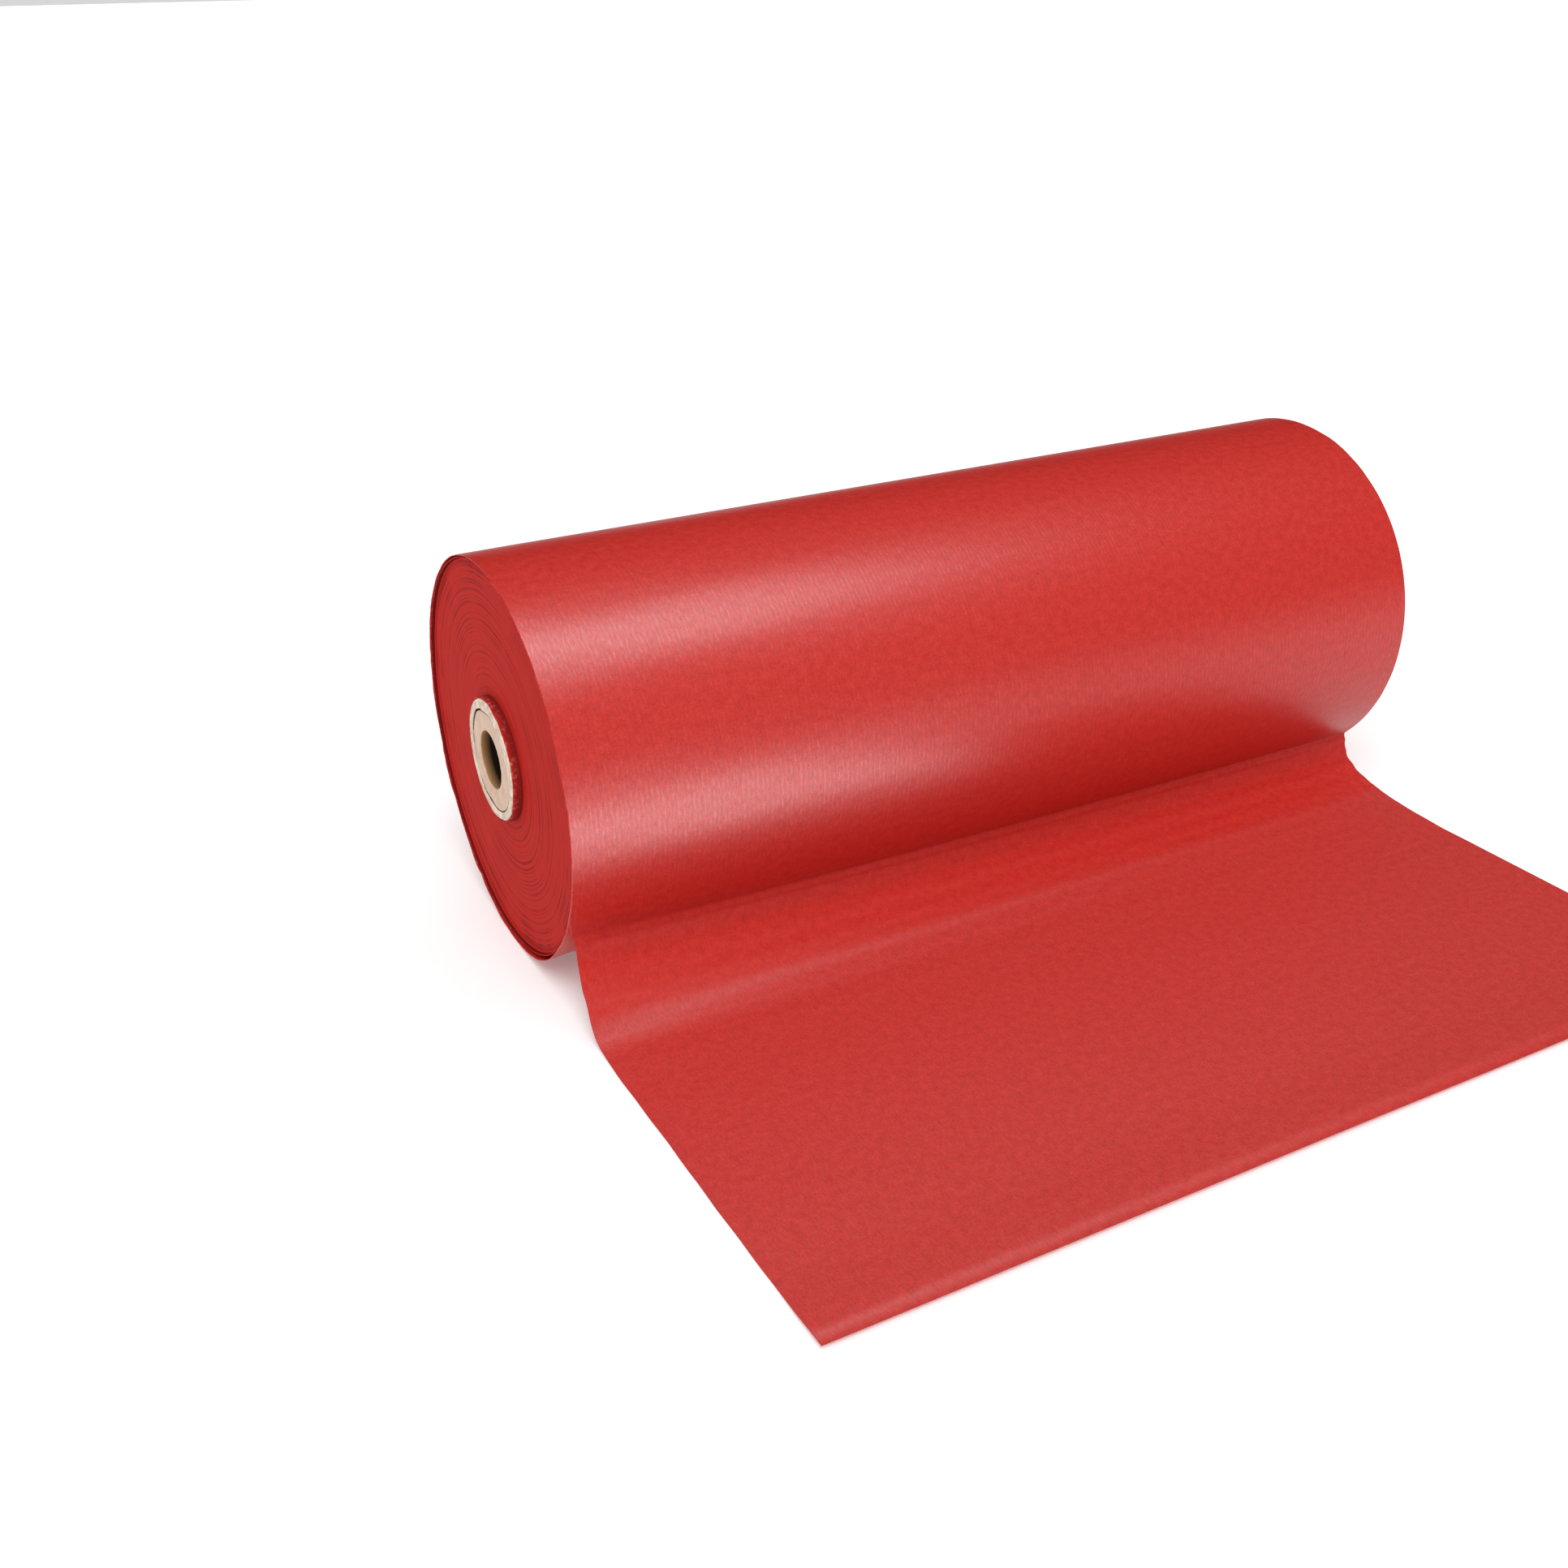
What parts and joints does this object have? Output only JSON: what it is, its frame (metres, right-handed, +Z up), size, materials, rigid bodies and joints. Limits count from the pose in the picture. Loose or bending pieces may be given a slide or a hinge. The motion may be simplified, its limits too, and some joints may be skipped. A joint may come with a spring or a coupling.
{
  "type": "paper roll",
  "caption": "Roll of ribbed coloured kraft paper on a plugged board core, its last turn led off over the front and laid flat on the floor; the roll turns to pay out the web.",
  "frame": {"origin": "on the roll's axis, halfway along the wound paper", "axes": "+X along the axis, -X at the end where the outer turns stand proud; -Y towards the free sheet; +Z up. The floor is at z = -0.1 m"},
  "size_m": [0.5106, 0.425, 0.2],
  "materials": {
    "paper_web": "satin ribbed kraft, dyed through",
    "paper_pack": "matte, the edges of many wound turns",
    "core_board": "matte spiral-wound board",
    "plug_chipwood": "matte pressed wood chip",
    "start_tape": "matte gummed tape"
  },
  "bodies": {
    "sheet": {"last_turn": "paper_web", "free_sheet": "paper_web"},
    "roll": {"core_tube": "core_board", "start_tape": "start_tape", "inner_turns": "paper_web", "wound_paper": "paper_pack", "outer_turns": "paper_web"},
    "plug_left": {"core_plug_left": "plug_chipwood"},
    "plug_right": {"core_plug_right": "plug_chipwood"}
  },
  "joints": [
    {"name": "roll_turn", "type": "hinge", "parent": "sheet", "child": "roll", "pos_m": [0, 0, 0], "axis": [1, 0, 0], "continuous": true},
    {"name": "plug_left_pull", "type": "slide", "parent": "roll", "child": "plug_left", "axis": [-1, 0, 0], "range_m": [0, 0.055]},
    {"name": "plug_right_pull", "type": "slide", "parent": "roll", "child": "plug_right", "axis": [1, 0, 0], "range_m": [0, 0.055]}
  ]
}
